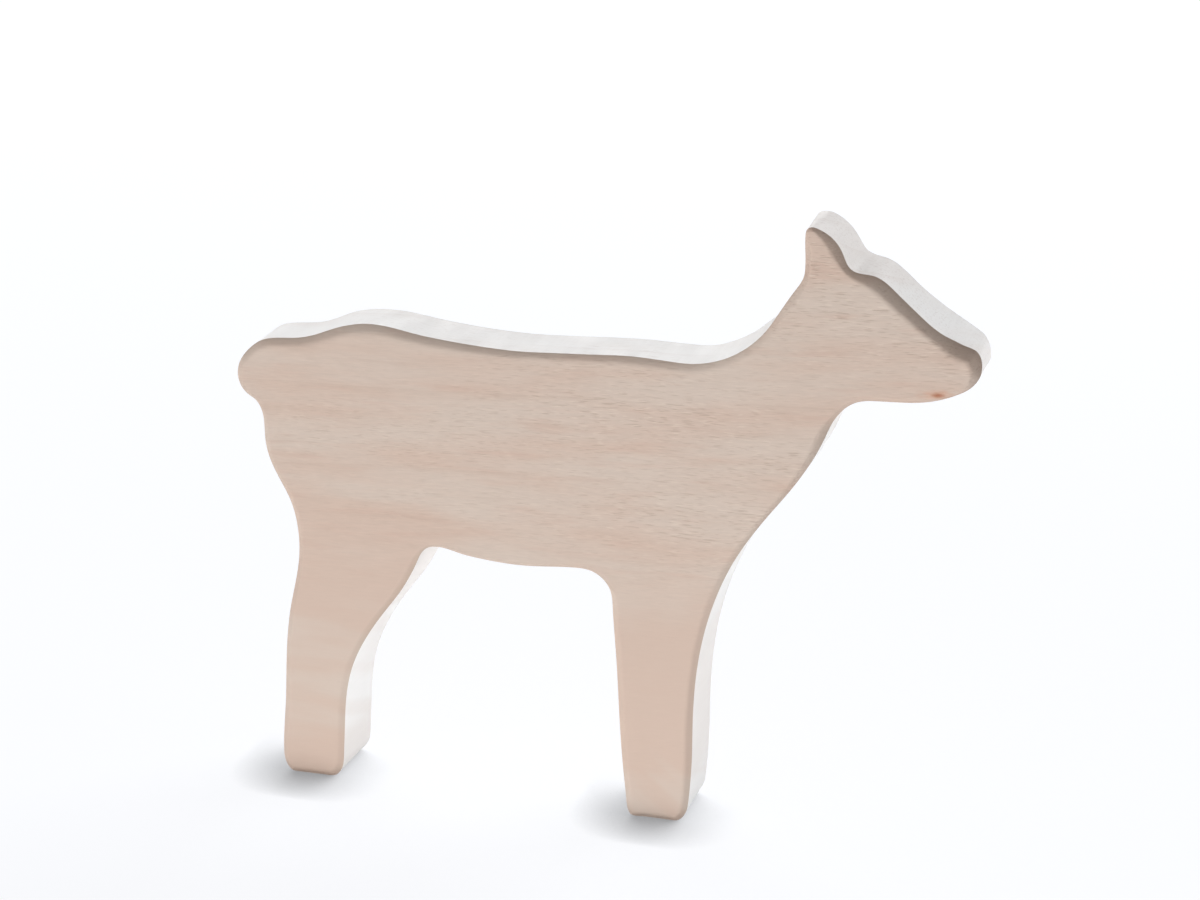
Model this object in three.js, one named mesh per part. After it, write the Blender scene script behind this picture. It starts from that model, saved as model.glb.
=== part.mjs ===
// Deer figurine: a standing doe sawn from one hardwood board, its edges rounded over and sanded.
// Millimetres, +X towards the nose, +Y towards the far face, +Z up.
// The origin is on the table, midway between tail and nose and between the two faces.

import * as THREE from 'three';
import { toCreasedNormals } from 'three/addons/utils/BufferGeometryUtils.js';

// Board
const BOARD_THICKNESS = 18;

// Rounding along both faces: an arc that leaves the face smoothly and meets the sawn edge at a crease
const ROUNDING_RADIUS = 2.2;
const ROUNDING_SWEEP = 66;
// The most that the rounding may take of the wood's half width, where the figure is narrow
const ROUNDING_SHARE = 0.6;

// Stance
const LEG_SPACING = 84;
const LEG_LENGTH = 58;
const HIND_SOLE_LENGTH = 8.4;
const FRONT_SOLE_LENGTH = 8.7;

// Trunk, from the belly up to the hollow of the back
const TRUNK_DEPTH = 49.7;

// Head: the root of the jaw ahead of the front sole and below the back, then the jaw to the nose tip
// and the jaw to the brow
const HEAD_REACH = 45.7;
const HEAD_DROP = 5;
const HEAD_LENGTH = 23.8;
const HEAD_DEPTH = 27.4;
const EAR_HEIGHT = 9.2;

// Tail: its tip behind the hind sole and below the back
const TAIL_REACH = 15.1;
const TAIL_DROP = 10.5;

// Directions of travel round the outline, which runs counter-clockwise as seen from the front, in degrees
const FORWARD = 0;
const UP = 90;
const BACKWARD = 180;
const DOWN = 270;

// Landmarks of the outline, stretch by stretch: [ahead of its anchor, above its anchor, heading there].
// A heading is one of the four directions and the lean from it.

// From the middle of the hind sole, on the table
const HIND_FOOT_FRONT = {
  toe: [8, 4.6, UP - 4],
  shin: [8.8, 17, UP - 4],
  hock: [11.9, 31, UP - 24],
};
const HIND_FOOT_BACK = {
  shin: [-6.4, 20, DOWN - 3],
  heel: [-7.4, 4.5, DOWN + 1],
};

// From the middle of the hind sole, at belly height
const THIGH_FRONT = {
  gaskin: [21.7, -11.8, UP - 38],
  stifle: [28.1, -0.8, UP - 24],
  groin: [31.2, 2.3, FORWARD + 12],
  flank: [39.7, 1, FORWARD - 8],
};
const THIGH_BACK = {
  thigh: [-4.2, 12.2, DOWN + 27],
  gaskin: [-1.5, -0.2, DOWN + 1],
  hock: [-4.4, -17, DOWN - 11],
};

// From midway between the soles, at belly height
const BELLY = {
  lowest: [10.2, 0, FORWARD],
};

// From the middle of the front sole, at belly height
const ELBOW = {
  girth: [-16.8, 0.8, FORWARD - 1],
  elbow: [-10.2, -5.5, DOWN + 2],
};
const BREAST = {
  breast: [16.5, 3.8, UP - 26],
  chest: [27.7, 20.6, UP - 38],
};

// From the middle of the front sole, on the table
const FRONT_FOOT_BACK = {
  shin: [-9, 34, DOWN + 3],
  heel: [-7, 6, DOWN + 7],
};
const FRONT_FOOT_FRONT = {
  toe: [7.8, 4.4, UP - 6],
  shin: [8.6, 20, UP],
  knee: [9.5, 37.5, UP - 7],
};

// From the root of the jaw
const JAW = {
  throat: [-8.1, -7.5, UP - 21],
  root: [0, 0, FORWARD + 3],
  jaw: [9.5, 0.3, FORWARD + 4],
};

// From below the nose tip, at the height of the jaw
const MUZZLE = {
  chin: [-3.5, 3.5, FORWARD + 30],
  nose: [0, 8.5, UP],
  nostril: [-2.1, 13, BACKWARD - 30],
  bridge: [-7.8, 15.5, BACKWARD - 29],
};

// From the brow, which is straight above the root of the jaw
const FACE = {
  forehead: [4.8, -2.6, BACKWARD - 41],
  brow: [0, 0, BACKWARD - 8],
  earRoot: [-4.6, 1.6, UP + 35],
  earFront: [-6.2, 4.5, UP + 30],
};
const POLL = {
  earBack: [-14, -0.5, DOWN - 2],
  poll: [-15.5, -4, DOWN - 36],
  nape: [-20.5, -11.7, DOWN - 32],
};

// From above the brow, at the height of the ear
const EAR = {
  top: [-11.9, 0, BACKWARD - 18],
  tip: [-13.9, -1.1, DOWN - 8],
};

// From above the front sole, at the height of the back
const WITHERS = {
  neckRoot: [15.7, 2.3, BACKWARD + 25],
  hollow: [4.7, 0.2, BACKWARD - 3],
  withers: [-8.8, 0.8, BACKWARD + 1],
};

// From midway between the soles, at the height of the back
const BACK = {
  lowest: [11.2, 0, BACKWARD - 1],
};

// From above the hind sole, at the height of the back
const RUMP = {
  loin: [30.7, 1.8, BACKWARD - 8],
  hip: [17.7, 3.7, BACKWARD],
  croup: [6.4, 1.1, BACKWARD + 22],
  tailRoot: [-1.8, -0.9, BACKWARD + 3],
};

// From the tip of the tail
const TAIL = {
  top: [5, 7.6, BACKWARD + 36],
  tip: [0, 0, DOWN],
  under: [3.5, -5.1, FORWARD - 25],
  buttock: [6, -9.6, DOWN + 4],
  ham: [6.2, -15.7, DOWN + 6],
};

// Fineness of the mesh
const STEPS_PER_SPAN = 5;
const STEPS_PER_ROUNDING = 3;
// Points to each side that the width of the rounding is evened over
const EVENING_REACH = 2;
const CREASE_ANGLE = 15;

// Finish: pale, matt, lightly oiled wood
const WOOD_COLOUR = 0xd4c2b4;
const WOOD_ROUGHNESS = 0.65;

// Landmarks of one stretch, moved to its anchor
function place(stretch, anchorX, anchorZ) {
  return Object.values(stretch).map(([ahead, above, heading]) => ({
    point: new THREE.Vector2(anchorX + ahead, anchorZ + above),
    heading: THREE.MathUtils.degToRad(heading),
  }));
}

// The end of a sole, flat on the table
function soleEnd(middle, ahead) {
  return place({ end: [ahead, 0, FORWARD] }, middle, 0);
}

// The two runs of landmarks that join the soles: one under the belly, one over the back
function landmarkRuns() {
  const hind = 0;
  const front = LEG_SPACING;
  const middle = (hind + front) / 2;
  const belly = LEG_LENGTH;
  const back = belly + TRUNK_DEPTH;
  const jawX = front + HEAD_REACH;
  const jawZ = back - HEAD_DROP;
  const brow = jawZ + HEAD_DEPTH;

  const underside = [
    ...soleEnd(hind, HIND_SOLE_LENGTH / 2),
    ...place(HIND_FOOT_FRONT, hind, 0),
    ...place(THIGH_FRONT, hind, belly),
    ...place(BELLY, middle, belly),
    ...place(ELBOW, front, belly),
    ...place(FRONT_FOOT_BACK, front, 0),
    ...soleEnd(front, -FRONT_SOLE_LENGTH / 2),
  ];
  const topside = [
    ...soleEnd(front, FRONT_SOLE_LENGTH / 2),
    ...place(FRONT_FOOT_FRONT, front, 0),
    ...place(BREAST, front, belly),
    ...place(JAW, jawX, jawZ),
    ...place(MUZZLE, jawX + HEAD_LENGTH, jawZ),
    ...place(FACE, jawX, brow),
    ...place(EAR, jawX, brow + EAR_HEIGHT),
    ...place(POLL, jawX, brow),
    ...place(WITHERS, front, back),
    ...place(BACK, middle, back),
    ...place(RUMP, hind, back),
    ...place(TAIL, hind - TAIL_REACH, back - TAIL_DROP),
    ...place(THIGH_BACK, hind, belly),
    ...place(HIND_FOOT_BACK, hind, 0),
    ...soleEnd(hind, -HIND_SOLE_LENGTH / 2),
  ];
  return [underside, topside];
}

// A point that lies a given distance along a landmark's heading
function along({ point, heading }, distance) {
  return new THREE.Vector2(Math.cos(heading), Math.sin(heading)).multiplyScalar(distance).add(point);
}

// Continue the outline from one landmark to the next with a curve that is close to a circular arc
function curveTo(outline, from, to) {
  const chord = from.point.distanceTo(to.point);
  const turn = Math.acos(Math.cos(to.heading - from.heading));
  const handle = chord / (3 * Math.cos(turn / 4) ** 2);
  const leave = along(from, handle);
  const arrive = along(to, -handle);
  outline.bezierCurveTo(leave.x, leave.y, arrive.x, arrive.y, to.point.x, to.point.y);
}

// Continue the outline through one run of landmarks
function addRun(outline, run) {
  for (let i = 1; i < run.length; i += 1) {
    curveTo(outline, run[i - 1], run[i]);
  }
}

// The closed outline of the sawn edge as points, centred between tail and nose.
// The two straight lines in it are the soles.
function outlinePoints() {
  const [underside, topside] = landmarkRuns();
  const outline = new THREE.Shape();
  outline.moveTo(underside[0].point.x, underside[0].point.y);
  addRun(outline, underside);
  outline.lineTo(topside[0].point.x, topside[0].point.y);
  addRun(outline, topside);
  outline.closePath();

  // The last point repeats the first
  const points = outline.getPoints(STEPS_PER_SPAN).slice(0, -1);
  const centre = new THREE.Box2().setFromPoints(points).getCenter(new THREE.Vector2());
  return points.map((point) => new THREE.Vector2(point.x - centre.x, point.y));
}

// The direction into the wood at each point of the outline
function inwardNormals(points) {
  const count = points.length;
  return points.map((point, i) => {
    const before = point.clone().sub(points[(i + count - 1) % count]).normalize();
    const after = points[(i + 1) % count].clone().sub(point).normalize();
    const travel = before.add(after).normalize();
    return new THREE.Vector2(-travel.y, travel.x);
  });
}

// Radius of the largest circle inside the outline that touches it at one point
function inscribedRadius(points, normals, i) {
  let radius = Infinity;
  points.forEach((other, j) => {
    const across = other.clone().sub(points[i]);
    const depth = across.dot(normals[i]);
    if (j !== i && depth > 0) {
      radius = Math.min(radius, across.lengthSq() / (2 * depth));
    }
  });
  return radius;
}

// Values at the points around one point of the outline
function neighbours(values, i) {
  const near = [];
  for (let step = -EVENING_REACH; step <= EVENING_REACH; step += 1) {
    near.push(values[(i + step + values.length) % values.length]);
  }
  return near;
}

// How far the rounding reaches in from each point of the outline: its full width,
// or less on tight corners and thin spots, with an even change between the two
function roundingWidths(points, normals) {
  const fullWidth = ROUNDING_RADIUS * Math.sin(THREE.MathUtils.degToRad(ROUNDING_SWEEP));
  const limits = points.map((point, i) => {
    return Math.min(fullWidth, ROUNDING_SHARE * inscribedRadius(points, normals, i));
  });
  const least = limits.map((limit, i) => Math.min(...neighbours(limits, i)));
  return least.map((width, i) => {
    const near = neighbours(least, i);
    return near.reduce((sum, value) => sum + value) / near.length;
  });
}

// The rings of the rounding, from the face to the crease: how much of the width each lies in from
// the sawn edge, and how deep it lies below the face
function roundingRings() {
  const sweep = THREE.MathUtils.degToRad(ROUNDING_SWEEP);
  const rings = [];
  for (let step = 0; step <= STEPS_PER_ROUNDING; step += 1) {
    const angle = (sweep * step) / STEPS_PER_ROUNDING;
    rings.push({
      share: 1 - Math.sin(angle) / Math.sin(sweep),
      depth: ROUNDING_RADIUS * (1 - Math.cos(angle)),
    });
  }
  return rings;
}

// The figure as one closed mesh: the near face, its rounding, the sawn edge, the far rounding, the far face
function figureGeometry() {
  const points = outlinePoints();
  const normals = inwardNormals(points);
  const widths = roundingWidths(points, normals);
  const count = points.length;
  const half = BOARD_THICKNESS / 2;

  const near = roundingRings().map(({ share, depth }) => ({ share, y: depth - half }));
  const far = near.map(({ share, y }) => ({ share, y: -y })).reverse();
  const rings = [...near, ...far];

  const inset = (i, share) => points[i].clone().addScaledVector(normals[i], widths[i] * share);
  const positions = rings.flatMap(({ share, y }) => points.flatMap((point, i) => {
    const { x, y: z } = inset(i, share);
    return [x, y, z];
  }));

  const triangles = [];
  for (let ring = 0; ring + 1 < rings.length; ring += 1) {
    for (let i = 0; i < count; i += 1) {
      const a = ring * count + i;
      const b = ring * count + ((i + 1) % count);
      triangles.push(a, a + count, b + count, a, b + count, b);
    }
  }
  const faceContour = points.map((point, i) => inset(i, 1));
  const farFace = (rings.length - 1) * count;
  for (const [a, b, c] of THREE.ShapeUtils.triangulateShape(faceContour, [])) {
    triangles.push(a, b, c);
    triangles.push(farFace + a, farFace + c, farFace + b);
  }

  const geometry = new THREE.BufferGeometry();
  geometry.setAttribute('position', new THREE.Float32BufferAttribute(positions, 3));
  geometry.setIndex(triangles);
  return toCreasedNormals(geometry, THREE.MathUtils.degToRad(CREASE_ANGLE));
}

const wood = new THREE.MeshStandardMaterial({
  color: WOOD_COLOUR,
  roughness: WOOD_ROUGHNESS,
  metalness: 0,
});
const deer = new THREE.Mesh(figureGeometry(), wood);
deer.name = 'deer_board';

const figurine = new THREE.Group();
figurine.name = 'deer_figurine';
figurine.add(deer);

export default figurine;
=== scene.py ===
"""Deer figurine sawn from one board of pale hardwood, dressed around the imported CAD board.

The board is rebuilt with a fair outline and a hand-sanded edge, gets a procedural wood finish, and stands on
a plain pale stage in front of a camera at the photograph's viewing angle. Lengths are in metres.
"""

import math

import bpy
import numpy as np
from bpy.props import FloatProperty, FloatVectorProperty, PointerProperty
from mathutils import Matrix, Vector
from mathutils.geometry import delaunay_2d_cdt


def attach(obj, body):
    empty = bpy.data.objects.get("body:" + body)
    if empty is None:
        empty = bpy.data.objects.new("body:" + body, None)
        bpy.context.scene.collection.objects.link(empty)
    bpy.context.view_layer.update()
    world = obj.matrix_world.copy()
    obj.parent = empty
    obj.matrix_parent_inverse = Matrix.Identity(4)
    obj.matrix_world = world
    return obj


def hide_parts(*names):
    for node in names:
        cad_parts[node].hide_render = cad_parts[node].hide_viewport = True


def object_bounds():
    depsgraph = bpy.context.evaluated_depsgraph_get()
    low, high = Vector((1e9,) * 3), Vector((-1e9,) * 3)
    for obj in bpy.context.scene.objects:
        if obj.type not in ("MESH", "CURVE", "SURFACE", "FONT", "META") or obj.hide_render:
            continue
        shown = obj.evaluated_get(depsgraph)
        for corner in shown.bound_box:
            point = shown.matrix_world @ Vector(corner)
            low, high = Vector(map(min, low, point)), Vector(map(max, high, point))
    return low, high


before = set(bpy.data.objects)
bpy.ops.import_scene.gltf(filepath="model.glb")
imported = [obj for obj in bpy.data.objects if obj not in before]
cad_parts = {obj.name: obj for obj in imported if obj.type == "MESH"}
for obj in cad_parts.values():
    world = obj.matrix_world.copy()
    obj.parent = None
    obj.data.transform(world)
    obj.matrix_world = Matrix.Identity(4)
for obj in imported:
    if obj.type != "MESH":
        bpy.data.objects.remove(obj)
CAD_LOW, CAD_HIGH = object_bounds()

bl_info = {
    "name": "Deer Figurine",
    "version": (1, 0, 0),
    "blender": (4, 5, 0),
    "location": "3D View > Sidebar > Deer",
    "description": "Builds a sawn wooden deer and its stage around the packed board",
    "category": "Object",
}

BOARD_NODE = "deer_board"
BOARD_BODY = "root"

MM = 0.001
PER_MM = 1000.0
SENSOR_WIDTH_MM = 36.0
VECTOR = "NodeSocketVector"
VALUE = "NodeSocketFloat"
NOISE_MIDDLE = 0.5

# Middle of the pin knot on the near face, upper corner of the nose as (x, z), rise of the grain ahead
KNOT_PLACE = (75.5 * MM, -9.0 * MM, 105.3 * MM)
NOSE_CORNER = (82.8 * MM, 114.6 * MM)
GRAIN_RISE = 0.03


def from_display(red, green, blue):
    """A colour given as display values from 0 to 255, in the linear values that shaders take."""
    linear = []
    for value in (red, green, blue):
        share = value / 255.0
        linear.append(share / 12.92 if share <= 0.04045 else ((share + 0.055) / 1.055) ** 2.4)
    return tuple(linear)


def length_property(name, description, default):
    """A length that a user can change, in metres."""
    return FloatProperty(
        name=name,
        description=description,
        default=default,
        min=0.0,
        precision=5,
        unit="LENGTH",
    )


def angle_property(name, description, degrees):
    """An angle that a user can change, given here in degrees."""
    return FloatProperty(name=name, description=description, default=math.radians(degrees), unit="ROTATION")


def span_property(name, description, start, end):
    """Two angles that a user can change, given here in degrees."""
    return FloatVectorProperty(
        name=name,
        description=description,
        default=(math.radians(start), math.radians(end)),
        size=2,
        unit="ROTATION",
    )


def share_property(name, description, default):
    """A share from 0 to 1 that a user can change."""
    return FloatProperty(
        name=name,
        description=description,
        default=default,
        min=0.0,
        max=1.0,
        subtype="FACTOR",
    )


def level_property(name, description, default):
    """A brightness that a user can change, where 1 is as bright as white paper in plain light."""
    return FloatProperty(name=name, description=description, default=default, min=0.0)


def colour_property(name, description, red, green, blue):
    """A colour that a user can change, given here as display values."""
    return FloatVectorProperty(
        name=name,
        description=description,
        default=from_display(red, green, blue),
        min=0.0,
        max=1.0,
        subtype="COLOR",
    )


class DeerBoardSizes(bpy.types.PropertyGroup):
    """Sizes of the sawn board that the CAD box leaves free."""

    body_rounding: length_property("Body rounding", "Width of the sanded edge on body and legs", 2.0 * MM)
    rump_rounding: length_property("Rump rounding", "Width of the sanded edge on top of the rump", 2.6 * MM)
    head_rounding: length_property("Head rounding", "Width of the sanded edge on the head", 2.5 * MM)
    under_share: share_property("Under share", "Share of that width on edges that face down", 0.55)
    hollow_share: share_property("Hollow share", "Share of that width in the tight hollows", 0.45)
    body_tilt: angle_property("Body tilt", "Slope that the body's sanded edge reaches at its crease", 40.0)
    gentle_tilt: angle_property("Gentle tilt", "That slope on the nape and the hind leg's front", 24.0)
    head_tilt: angle_property("Head tilt", "That slope on the head", 46.0)
    body_turn: share_property("Body turn", "Share of the body's sanded edge over which it turns", 0.6)
    head_turn: share_property("Head turn", "Share of the head's sanded edge over which it turns", 0.4)
    head_start: length_property("Head start", "Distance ahead of the middle where the neck ends", 46.0 * MM)
    neck_blend: length_property("Neck blend", "Length over which the edge widens to the head", 14.0 * MM)
    brow_lean: length_property("Brow lean", "How far the near brow lies inside the CAD outline", 0.7 * MM)
    saddle_lean: length_property("Saddle lean", "How far the near face's back lies inside it", 0.35 * MM)
    bridge_lean: length_property("Bridge lean", "How far the far face's bridge lies outside it", 0.6 * MM)
    back_lean: length_property("Back lean", "How far the far face's back lies inside it", 0.4 * MM)
    slope_lean: length_property("Slope lean", "How far the far rearward slopes lie behind it", 1.3 * MM)
    outline_step: length_property("Outline step", "Distance between points along the outline", 0.6 * MM)
    face_step: length_property("Face step", "Distance between points on the flat faces", 2.5 * MM)
    saw_wander: length_property("Saw wander", "Most that the saw strays inward from the outline", 0.08 * MM)
    # Painted shade: a dark line along each crease, strongest on edges that face up
    shade_line_width: length_property("Burnish width", "Width of the rubbed line beside the crease", 0.35 * MM)
    shade_line_below: share_property("Rubbed below", "Share of the rubbed line on edges not facing up", 0.1)


class DeerWoodFinish(bpy.types.PropertyGroup):
    """Colours and gloss of the wood."""

    pale_wood: colour_property("Pale wood", "Main colour of the sanded faces", 213, 195, 181)
    rosy_wood: colour_property("Rosy wood", "Colour of the broad warmer zones", 211, 187, 171)
    late_wood: colour_property("Late wood", "Colour of the thin lines between growth rings", 186, 158, 140)
    streak: colour_property("Streak", "Colour of the soft reddish streaks", 205, 170, 152)
    dark_fleck: colour_property("Dark fleck", "Colour of the fine dark dashes", 160, 132, 114)
    light_fleck: colour_property("Light fleck", "Colour of the fine pale dashes", 232, 216, 200)
    knot_heart: colour_property("Knot heart", "Colour of the middle of the pin knot", 172, 112, 82)
    knot_halo: colour_property("Knot halo", "Colour of the stained wood round the pin knot", 210, 158, 130)
    # Sawn edge colour: pale sanded end grain, painted near white as a painted sheen of the bright light from
    # behind
    sawn_edge_and_sheen: colour_property("Sawn edge", "Main colour of the sawn and sanded edge", 243, 241, 239)
    # Painted shade: the dark colour laid along the creases, on the brow and nose and under edges that face
    # down, where shade falls
    painted_shade: colour_property("Burnish", "Colour of wood that hands and sanding rubbed dark", 158, 138, 124)
    face_roughness: share_property("Face roughness", "Roughness of the sanded faces", 0.6)
    edge_roughness: share_property("Edge roughness", "Roughness of the sawn edge", 0.55)


class DeerStage(bpy.types.PropertyGroup):
    """The camera, the floor and the lamps."""

    camera_place: FloatVectorProperty(
        name="Camera place",
        description="Where the camera stands",
        default=(0.150776, -0.501356, 0.246120),
        subtype="TRANSLATION",
        unit="LENGTH",
    )
    camera_azimuth: angle_property("Camera azimuth", "How far the camera is turned to the left", 16.804)
    camera_elevation: angle_property("Camera elevation", "How far the camera looks down", 17.199)
    camera_lens: FloatProperty(
        name="Lens",
        description="Focal length on a sensor 36 mm wide",
        default=73.88,
        subtype="DISTANCE_CAMERA",
    )
    floor_size: length_property("Floor size", "Length of a side of the floor", 12.0)
    floor_colour: colour_property("Floor colour", "Colour of the floor", 244, 247, 250)
    floor_glow: share_property("Floor glow", "Plain white in the floor that the camera sees", 0.915)
    floor_tint: colour_property("Floor tint", "Colour of that plain white", 251, 252, 255)
    contact_reach: length_property("Contact reach", "How far from the soles that white fades", 14.0 * MM)
    contact_side: FloatVectorProperty(
        name="Contact side",
        description="Direction that the light over the soles comes from",
        default=(0.34, 0.93, 0.12),
        subtype="DIRECTION",
    )
    contact_depth: FloatProperty(
        name="Contact depth",
        description="How quickly that white darkens towards the soles",
        default=1.35,
        min=0.0,
    )
    shadow_share: share_property("Shadow share", "Share of the lit floor that the camera sees", 0.15)
    sky_colour: colour_property("Sky colour", "Colour of the dim light from all round", 200, 222, 255)
    sky_level: share_property("Sky level", "Strength of the dim light from all round", 0.03)
    panel_distance: length_property("Panel distance", "Distance of every panel from the figure", 3.0)
    panel_turn: angle_property("Panel turn", "Angle that one panel of a row fills", 40.0)
    side_turns: span_property("Side turns", "Start and end of the side panels, from behind", -200.0, -120.0)
    left_turns: span_property("Left turns", "Start and end of the left panel", -80.0, -40.0)
    back_turns: span_property("Back turns", "Start and end of the back panels", -40.0, 40.0)
    right_turns: span_property("Right turns", "Start and end of the right panel", 33.0, 63.0)
    key_turns: span_property("Key turns", "Start and end of the key panel", 6.0, 54.0)
    high_turns: span_property("High turns", "Start and end of the high panel", -50.0, -5.0)
    side_rises: span_property("Side rises", "Lower and upper edge of the side panels", 0.0, 24.0)
    low_rises: span_property("Low rises", "Those edges of the left, back and right panels", 0.0, 14.0)
    key_rises: span_property("Key rises", "Those edges of the key panel", 28.0, 46.0)
    high_rises: span_property("High rises", "Those edges of the high panel", 16.0, 42.0)
    side_level: level_property("Side level", "Brightness of the side panels", 3.03)
    left_level: level_property("Left level", "Brightness of the left panel", 1.7)
    back_level: level_property("Back level", "Brightness of the back panels", 0.2)
    right_level: level_property("Right level", "Brightness of the right panel", 6.2)
    key_level: level_property("Key level", "Brightness of the key panel", 7.4)
    high_level: level_property("High level", "Brightness of the high panel", 4.15)
    bounce_width: length_property("Bounce width", "Length of the bounce lamps along the figure", 1.6)
    bounce_depth: length_property("Bounce depth", "Depth of each bounce lamp", 0.25)
    bounce_gap: length_property("Bounce gap", "Distance from a face to its bounce lamp", 3.0 * MM)
    bounce_level: level_property("Bounce level", "Brightness of the bounce lamp in front", 0.58)
    return_level: level_property("Return level", "Brightness of the bounce lamp behind", 0.3)


# The board's outline

def crease_corners(node):
    """The sawn outline's corners in order, as pairs (x, z), read from the near crease of the CAD solid."""
    slack = 0.01 * MM
    mesh = node.data
    places = np.empty(len(mesh.vertices) * 3, dtype=np.float32)
    mesh.vertices.foreach_get("co", places)
    places = places.reshape(-1, 3).astype(float)
    depth = np.abs(places[:, 1]).min()
    on_crease = np.abs(places[:, 1] + depth) < slack
    keys = [tuple(np.round(place[[0, 2]] / MM, 3)) for place in places]
    linked = {}
    for edge in mesh.edges:
        first, second = edge.vertices
        if on_crease[first] and on_crease[second] and keys[first] != keys[second]:
            linked.setdefault(keys[first], set()).add(keys[second])
            linked.setdefault(keys[second], set()).add(keys[first])
    if not linked or any(len(near) != 2 for near in linked.values()):
        raise RuntimeError("the near crease of the CAD board is not one closed ring")
    start = min(linked)
    ring = [start]
    previous = start
    current = max(linked[start])
    while current != start:
        ring.append(current)
        following = next(key for key in linked[current] if key != previous)
        previous = current
        current = following
    corners = np.array(ring) * MM
    return corners if signed_area(corners) > 0 else corners[::-1]


def signed_area(points):
    """Area inside a closed ring, above zero where it runs counterclockwise."""
    ahead = np.roll(points, -1, axis=0)
    return 0.5 * np.sum(points[:, 0] * ahead[:, 1] - ahead[:, 0] * points[:, 1])


def inside_box(points):
    """Points of an outline, kept inside the CAD box."""
    return np.clip(points, (CAD_LOW.x, CAD_LOW.z), (CAD_HIGH.x, CAD_HIGH.z))


def fair_curve(corners, step):
    """A smooth closed curve through the corners, with points at an even step, kept inside the CAD box."""
    pieces_per_span = 8
    before = np.roll(corners, 1, axis=0)
    after = np.roll(corners, -1, axis=0)
    beyond = np.roll(corners, -2, axis=0)
    # Uneven spans get knots by the square root of their length, so that the curve doesn't overshoot
    first = np.sqrt(np.linalg.norm(corners - before, axis=1))[:, None]
    middle = np.sqrt(np.linalg.norm(after - corners, axis=1))[:, None]
    last = np.sqrt(np.linalg.norm(beyond - after, axis=1))[:, None]
    leave = (corners - before) / first - (after - before) / (first + middle) + (after - corners) / middle
    arrive = (after - corners) / middle - (beyond - corners) / (middle + last) + (beyond - after) / last
    leave = leave * middle
    arrive = arrive * middle
    dense = []
    for share in np.arange(pieces_per_span) / pieces_per_span:
        square = share * share
        cube = square * share
        point = (2 * cube - 3 * square + 1) * corners + (cube - 2 * square + share) * leave
        dense.append(point + (3 * square - 2 * cube) * after + (cube - square) * arrive)
    dense = inside_box(np.stack(dense, axis=1).reshape(-1, 2))
    closed = np.vstack([dense, dense[:1]])
    run = np.concatenate([[0.0], np.cumsum(np.linalg.norm(np.diff(closed, axis=0), axis=1))])
    count = int(round(run[-1] / step))
    places = np.arange(count) * run[-1] / count
    return np.column_stack([np.interp(places, run, closed[:, axis]) for axis in (0, 1)])


def inward_directions(outline):
    """Unit directions from a counterclockwise outline towards the wood."""
    along = np.roll(outline, -1, axis=0) - np.roll(outline, 1, axis=0)
    inward = np.column_stack([-along[:, 1], along[:, 0]])
    return inward / np.linalg.norm(inward, axis=1)[:, None]


def facing(inward, ahead, up):
    """How squarely the outline faces this direction: 1 straight on, and below 0 where it faces away."""
    return -inward @ np.array((ahead, up))


def evened(values, reach):
    """Values round a closed ring, averaged with their neighbours on both sides."""
    weights = np.hanning(2 * reach + 3)[1:-1]
    weights = weights / weights.sum()
    total = np.zeros_like(values)
    for offset, weight in zip(range(-reach, reach + 1), weights):
        total += weight * np.roll(values, offset, axis=0)
    return total


def eased(values, low, high):
    """Values that go smoothly from 0 at low to 1 at high."""
    share = np.clip((values - low) / (high - low), 0.0, 1.0)
    return share * share * (3 - 2 * share)


def passed(lengths, low, high):
    """Lengths that go smoothly from 0 to 1 between two marks, which are in millimetres."""
    return eased(lengths, low * MM, high * MM)


def hollows(outline, step):
    """0 on straight and bulging stretches of the outline, up to 1 in its tight hollows."""
    mild_bend = 40.0
    tight_bend = 160.0
    softened = evened(outline, 4)
    along = np.roll(softened, -2, axis=0) - np.roll(softened, 2, axis=0)
    heading = np.arctan2(along[:, 1], along[:, 0])
    turn = np.roll(heading, -2) - np.roll(heading, 2)
    turn = (turn + math.pi) % (2 * math.pi) - math.pi
    bend = -turn / (4 * step)
    return evened(eased(bend, mild_bend, tight_bend), 5)


def inscribed_radii(outline, inward):
    """Radius of the largest circle inside the outline that touches it at each point."""
    least_ahead = 1e-7
    across = outline[None, :, :] - outline[:, None, :]
    distance = np.sum(across * across, axis=2)
    ahead = np.sum(across * inward[:, None, :], axis=2)
    radii = np.where(ahead > least_ahead, distance / np.maximum(2 * ahead, least_ahead), np.inf)
    return radii.min(axis=1)


def slow_wave(run, seed, waves):
    """A smooth value from about -1 to 1 round the outline, for what a hand does unevenly."""
    draws = np.random.default_rng(seed)
    turn = 2 * math.pi * run / (run[-1] + run[1])
    total = np.zeros_like(run)
    for count in waves:
        total += np.sin(count * turn + draws.uniform(0, 2 * math.pi))
    return total / math.sqrt(len(waves))


def head_share(outline, sizes):
    """1 on the head, 0 on the body, and between them along the neck."""
    half = sizes.neck_blend / 2
    return eased(outline[:, 0], sizes.head_start - half, sizes.head_start + half)


def top_facings(outline, inward):
    """Along the outline: how squarely it faces ahead and up, how squarely up, and 1 on the figure's top."""
    facing_ahead = np.clip(facing(inward, 0.6, 0.8), 0.0, 1.0)
    facing_up = np.clip(-inward[:, 1], 0.0, 1.0)
    return facing_ahead, facing_up, passed(outline[:, 1], 99.0, 103.0)


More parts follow.
